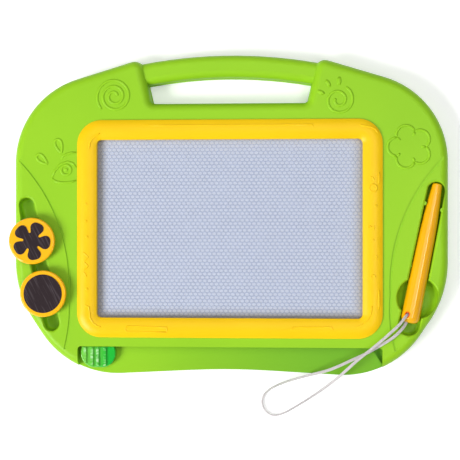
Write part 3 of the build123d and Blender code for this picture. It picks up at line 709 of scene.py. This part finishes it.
# Painted highlights: pale broken dashes along the rib tops
rib_top = past(nodes, links, axes["Z"], *rib_top_heights)
highlight_breaks = grain(nodes, links, place, scale=420, detail=1, stretch=(3, 1, 1))
highlight_dashes = spread(nodes, links, highlight_breaks, low=-1.3, high=2.0)
rib_highlight = combined(nodes, links, "MULTIPLY", rib_top, highlight_dashes)
tinted(nodes, links, shader, emerald, rib_highlight, rib_highlight_green)
shader.inputs["Transmission Weight"].default_value = 0.2
shader.inputs["Coat Weight"].default_value = 0.4
shader.inputs["Coat Roughness"].default_value = 0.08
ripple = grain(nodes, links, place, scale=260)
bump(nodes, links, shader, ripple, strength=0.1, distance=0.0003)
dress(knob_emerald, "eraser_knob")
soft_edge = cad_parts["eraser_knob"].modifiers.new("soft_edge", "BEVEL")
soft_edge.width = 0.0005
soft_edge.segments = 2
soft_edge.limit_method = "ANGLE"
soft_edge.angle_limit = math.radians(50)

# Magnets: bonded ferrite sheet, punched out and glued in the stampers and the carriage. The dark
# surface keeps fine streaks from rolling.
rolling_direction = math.radians(117)
ferrite, nodes, links, shader, place = finish_nodes("ferrite_sheet", roughness=0.55, specular=0.12)
streaks = grain(
    nodes, links, place, scale=650, detail=3, stretch=(14, 1, 1), turn=rolling_direction
)
dark = shades(
    nodes, links, streaks, (0.022, 0.013, 0.016), (0.082, 0.066, 0.073), low=0.5, high=0.85
)
links.new(dark, shader.inputs["Base Color"])
links.new(spread(nodes, links, streaks, low=0.45, high=0.65), shader.inputs["Roughness"])
bump(nodes, links, shader, streaks, strength=0.14, distance=0.0001)
dress(ferrite, "flower_stamper_magnet", "round_stamper_magnet", "eraser_magnet_strip")

# Pen: barrel and tail plug moulded in a glossy orange-yellow. Round the cord's hole, the red of
# light coming through the thin plastic is painted on.
hole_centre = (0.16635, -0.09264, 0.02947)
painted_glow_reach = (0.0034, 0.0022)
painted_glow_red = (0.80, 0.07, 0.001)
pen_orange, nodes, links, shader, place = finish_nodes("pen_orange", roughness=0.3, specular=0.1)
cloud = grain(nodes, links, place, scale=30)
orange = shades(nodes, links, cloud, (0.86, 0.41, 0.001), (0.90, 0.44, 0.002))
from_hole = nodes.new("ShaderNodeVectorMath")
from_hole.operation = "DISTANCE"
from_hole.inputs[1].default_value = hole_centre
links.new(place, from_hole.inputs[0])
# Painted light: a red glow round the cord's hole
painted_glow_mask = past(nodes, links, from_hole.outputs["Value"], *painted_glow_reach)
tinted(nodes, links, shader, orange, painted_glow_mask, painted_glow_red)
shader.inputs["Coat Weight"].default_value = 1.0
shader.inputs["Coat Roughness"].default_value = 0.05
ripple = grain(nodes, links, place, scale=350)
bump(nodes, links, shader, ripple, strength=0.04, distance=0.0001)
dress(pen_orange, "pen_barrel", "pen_tail_plug")

# Stampers: a disc with a neck and a bulb, turned over so that the bulb parks in the groove. Each
# is one glossy yellow moulding with its magnet glued in the disc.
stamper_yellow, nodes, links, shader, place = finish_nodes(
    "stamper_yellow", roughness=0.22, specular=0.3
)
cloud = grain(nodes, links, place, scale=40)
yellow = shades(nodes, links, cloud, (0.86, 0.43, 0.001), (0.90, 0.46, 0.002))
links.new(yellow, shader.inputs["Base Color"])
shader.inputs["Coat Weight"].default_value = 0.3
shader.inputs["Coat Roughness"].default_value = 0.12
ripple = grain(nodes, links, place, scale=400)
bump(nodes, links, shader, ripple, strength=0.05, distance=0.0003)
dress(stamper_yellow, "flower_stamper_body", "round_stamper_body")

# Studio: a white table that the camera sees as plain white with the board's shadow on it, in an
# even white room. A soft key lamp stands at the lower left with a weak one overhead, and two
# narrow strips draw the highlights along the edges.
table_half = 4
table_drop = 0.0002
table_glow = 0.28
room_level = 0.30
white = (1, 1, 1, 1)
table_grid = bmesh.new()
bmesh.ops.create_grid(table_grid, x_segments=1, y_segments=1, size=table_half)
table_mesh = bpy.data.meshes.new("table")
table_grid.to_mesh(table_mesh)
table_grid.free()
table = bpy.data.objects.new("table", table_mesh)
table.location = (0, 0, -table_drop)
scene.collection.objects.link(table)


def seen_by(nodes, links, *rays):
    """1 for two kinds of rays and 0 for the rest."""
    path = nodes.new("ShaderNodeLightPath")
    return combined(nodes, links, "MAXIMUM", *(path.outputs[ray] for ray in rays))


table_white, nodes, links, shader, place = finish_nodes("table_white", roughness=0.9)
shader.inputs["Base Color"].default_value = (0.92, 0.92, 0.92, 1)
seen = seen_by(nodes, links, "Is Camera Ray", "Is Glossy Ray")
glow = spread(nodes, links, seen, low=0, high=table_glow)
shader.inputs["Emission Color"].default_value = white
links.new(glow, shader.inputs["Emission Strength"])
table_mesh.materials.append(table_white)

world = bpy.data.worlds.new("studio")
scene.world = world
world.use_nodes = True
nodes, links = world.node_tree.nodes, world.node_tree.links
room = nodes["Background"]
seen = seen_by(nodes, links, "Is Camera Ray", "Is Transmission Ray")
level = spread(nodes, links, seen, low=room_level, high=1.0)
links.new(level, room.inputs["Strength"])
room.inputs["Color"].default_value = white

for name, place, length, width, power in (
    ("key_lamp", (-1.9, -1.1, 1.9), 1.1, 1.1, 72.0),
    ("top_lamp", (0.1, 0.5, 1.6), 1.2, 1.2, 7.0),
    ("left_strip", (-0.74, -0.33, 1.0), 0.3, 0.16, 1.2),
    ("right_strip", (0.45, -0.10, 1.0), 0.7, 0.12, 2.0),
):
    lamp_data = bpy.data.lights.new(name, "AREA")
    lamp_data.shape = "RECTANGLE"
    lamp_data.size = length
    lamp_data.size_y = width
    lamp_data.energy = power
    lamp = bpy.data.objects.new(name, lamp_data)
    lamp.location = place
    lamp.rotation_euler = (-Vector(place)).to_track_quat("-Z", "Y").to_euler()
    scene.collection.objects.link(lamp)
